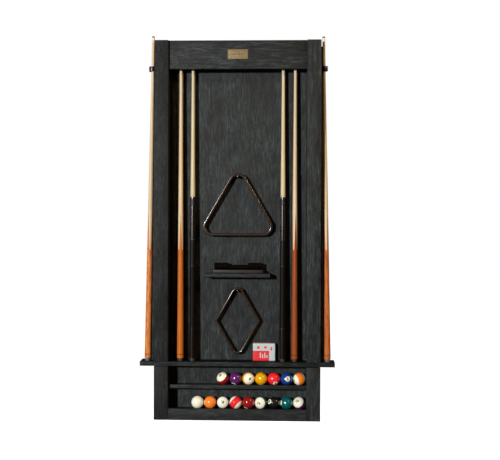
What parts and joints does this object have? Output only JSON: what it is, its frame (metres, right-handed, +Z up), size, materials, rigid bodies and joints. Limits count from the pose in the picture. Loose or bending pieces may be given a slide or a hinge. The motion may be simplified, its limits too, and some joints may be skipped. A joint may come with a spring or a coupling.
{
  "type": "wall cue rack",
  "caption": "Tall black wooden wall rack for pool cues, with ball shelves below a cue shelf, side rings, and hung ball racks, brush and chalk box in its niche.",
  "frame": {"origin": "centre of the rear face, which lies on the wall, halfway up the case", "axes": "+X to the right of a person facing the rack, +Y into the wall, +Z up"},
  "size_m": [0.875, 0.092, 1.7277],
  "materials": {
    "black_wood": "black stain over wire-brushed open grain, satin",
    "dark_rack_wood": "very dark brown, gloss varnish",
    "maple": "pale maple, clear gloss varnish",
    "orange_wood": "orange-brown hardwood, clear gloss varnish",
    "black_lacquer": "black lacquer, high gloss",
    "bumper_rubber": "matt grey-black rubber",
    "black_plastic": "moulded, satin",
    "aged_brass": "aged, brushed",
    "zinc_steel": "zinc plated",
    "brown_wood": "brown hardwood, satin varnish",
    "bristle": "dark horsehair bristles",
    "card": "printed card, satin",
    "cream_resin": "cast resin, polished",
    "yellow_resin": "cast resin, polished",
    "blue_resin": "cast resin, polished",
    "red_resin": "cast resin, polished",
    "purple_resin": "cast resin, polished",
    "orange_resin": "cast resin, polished",
    "green_resin": "cast resin, polished",
    "maroon_resin": "cast resin, polished",
    "black_resin": "cast resin, polished"
  },
  "bodies": {
    "case": {"left_upper_stile": "black_wood", "right_upper_stile": "black_wood", "left_lower_stile": "black_wood", "right_lower_stile": "black_wood", "top_rail": "black_wood", "bottom_rail": "black_wood", "back_panel": "black_wood", "cue_shelf": "black_wood", "ball_shelf": "black_wood", "lower_ball_board": "black_wood", "cue_guide_bar": "black_wood", "left_side_batten": "black_wood", "right_side_batten": "black_wood", "brush_shelf": "black_wood", "left_cue_ring": "black_plastic", "right_cue_ring": "black_plastic", "triangle_peg": "black_lacquer", "diamond_peg": "black_lacquer", "nameplate": "aged_brass", "left_keyhole_hanger": "zinc_steel", "right_keyhole_hanger": "zinc_steel"},
    "outer_left_cue": {"outer_left_cue_bumper": "bumper_rubber", "outer_left_cue_butt": "orange_wood", "outer_left_cue_shaft": "maple"},
    "inner_left_orange_cue": {"inner_left_orange_cue_bumper": "bumper_rubber", "inner_left_orange_cue_butt": "orange_wood", "inner_left_orange_cue_shaft": "maple"},
    "inner_left_black_cue": {"inner_left_black_cue_bumper": "bumper_rubber", "inner_left_black_cue_butt": "black_lacquer", "inner_left_black_cue_shaft": "maple"},
    "inner_right_black_cue": {"inner_right_black_cue_bumper": "bumper_rubber", "inner_right_black_cue_butt": "black_lacquer", "inner_right_black_cue_shaft": "maple"},
    "inner_right_orange_cue": {"inner_right_orange_cue_bumper": "bumper_rubber", "inner_right_orange_cue_butt": "orange_wood", "inner_right_orange_cue_shaft": "maple"},
    "outer_right_cue": {"outer_right_cue_bumper": "bumper_rubber", "outer_right_cue_butt": "orange_wood", "outer_right_cue_shaft": "maple"},
    "cue_ball": {"cue_ball": "cream_resin"},
    "ball_01": {"ball_01": "yellow_resin"},
    "ball_02": {"ball_02": "blue_resin"},
    "ball_03": {"ball_03": "red_resin"},
    "ball_04": {"ball_04": "purple_resin"},
    "ball_05": {"ball_05": "orange_resin"},
    "ball_06": {"ball_06": "green_resin"},
    "ball_07": {"ball_07": "maroon_resin"},
    "ball_08": {"ball_08": "black_resin"},
    "ball_09": {"ball_09": "yellow_resin"},
    "ball_10": {"ball_10": "blue_resin"},
    "ball_11": {"ball_11": "red_resin"},
    "ball_12": {"ball_12": "purple_resin"},
    "ball_13": {"ball_13": "orange_resin"},
    "ball_14": {"ball_14": "green_resin"},
    "ball_15": {"ball_15": "maroon_resin"},
    "triangle": {"triangle_rack": "dark_rack_wood"},
    "diamond": {"diamond_rack": "dark_rack_wood"},
    "brush": {"brush_block": "brown_wood", "brush_bristles": "bristle"},
    "chalk_box": {"chalk_box": "card"}
  },
  "joints": [
    {"name": "outer_left_cue_lift", "type": "slide", "parent": "case", "child": "outer_left_cue", "axis": [0.0143, 0.0054, 0.9999], "range_m": [0, 0.06]},
    {"name": "inner_left_orange_cue_lift", "type": "slide", "parent": "case", "child": "inner_left_orange_cue", "axis": [0, 0.0054, 1], "range_m": [0, 0.06]},
    {"name": "inner_left_black_cue_lift", "type": "slide", "parent": "case", "child": "inner_left_black_cue", "axis": [0, 0.0054, 1], "range_m": [0, 0.06]},
    {"name": "inner_right_black_cue_lift", "type": "slide", "parent": "case", "child": "inner_right_black_cue", "axis": [0, 0.0054, 1], "range_m": [0, 0.06]},
    {"name": "inner_right_orange_cue_lift", "type": "slide", "parent": "case", "child": "inner_right_orange_cue", "axis": [0, 0.0054, 1], "range_m": [0, 0.06]},
    {"name": "outer_right_cue_lift", "type": "slide", "parent": "case", "child": "outer_right_cue", "axis": [-0.0143, 0.0054, 0.9999], "range_m": [0, 0.06]},
    {"name": "cue_ball_lift_out", "type": "slide", "parent": "case", "child": "cue_ball", "axis": [0, -0.9272, 0.3746], "range_m": [0, 0.075]},
    {"name": "ball_01_lift_out", "type": "slide", "parent": "case", "child": "ball_01", "axis": [0, -0.9272, 0.3746], "range_m": [0, 0.075]},
    {"name": "ball_02_lift_out", "type": "slide", "parent": "case", "child": "ball_02", "axis": [0, -0.9272, 0.3746], "range_m": [0, 0.075]},
    {"name": "ball_03_lift_out", "type": "slide", "parent": "case", "child": "ball_03", "axis": [0, -0.9272, 0.3746], "range_m": [0, 0.075]},
    {"name": "ball_04_lift_out", "type": "slide", "parent": "case", "child": "ball_04", "axis": [0, -0.9272, 0.3746], "range_m": [0, 0.075]},
    {"name": "ball_05_lift_out", "type": "slide", "parent": "case", "child": "ball_05", "axis": [0, -0.9272, 0.3746], "range_m": [0, 0.075]},
    {"name": "ball_06_lift_out", "type": "slide", "parent": "case", "child": "ball_06", "axis": [0, -0.9272, 0.3746], "range_m": [0, 0.075]},
    {"name": "ball_07_lift_out", "type": "slide", "parent": "case", "child": "ball_07", "axis": [0, -0.9272, 0.3746], "range_m": [0, 0.075]},
    {"name": "ball_08_lift_out", "type": "slide", "parent": "case", "child": "ball_08", "axis": [0, -0.9272, 0.3746], "range_m": [0, 0.075]},
    {"name": "ball_09_lift_out", "type": "slide", "parent": "case", "child": "ball_09", "axis": [0, -0.9272, 0.3746], "range_m": [0, 0.075]},
    {"name": "ball_10_lift_out", "type": "slide", "parent": "case", "child": "ball_10", "axis": [0, -0.9272, 0.3746], "range_m": [0, 0.075]},
    {"name": "ball_11_lift_out", "type": "slide", "parent": "case", "child": "ball_11", "axis": [0, -0.9272, 0.3746], "range_m": [0, 0.075]},
    {"name": "ball_12_lift_out", "type": "slide", "parent": "case", "child": "ball_12", "axis": [0, -0.9272, 0.3746], "range_m": [0, 0.075]},
    {"name": "ball_13_lift_out", "type": "slide", "parent": "case", "child": "ball_13", "axis": [0, -0.9272, 0.3746], "range_m": [0, 0.075]},
    {"name": "ball_14_lift_out", "type": "slide", "parent": "case", "child": "ball_14", "axis": [0, -0.9272, 0.3746], "range_m": [0, 0.075]},
    {"name": "ball_15_lift_out", "type": "slide", "parent": "case", "child": "ball_15", "axis": [0, -0.9272, 0.3746], "range_m": [0, 0.075]},
    {"name": "triangle_swing", "type": "hinge", "parent": "case", "child": "triangle", "pos_m": [0, -0.031, 0.2422], "axis": [0, 1, 0], "range_deg": [-6, 6]},
    {"name": "diamond_swing", "type": "hinge", "parent": "case", "child": "diamond", "pos_m": [0, -0.031, -0.2728], "axis": [0, 1, 0], "range_deg": [-3, 8]},
    {"name": "brush_lift_off", "type": "slide", "parent": "case", "child": "brush", "axis": [0, -0.866, 0.5], "range_m": [0, 0.12]},
    {"name": "chalk_box_lift_off", "type": "slide", "parent": "case", "child": "chalk_box", "axis": [0, -0.9659, 0.2588], "range_m": [0, 0.12]}
  ]
}
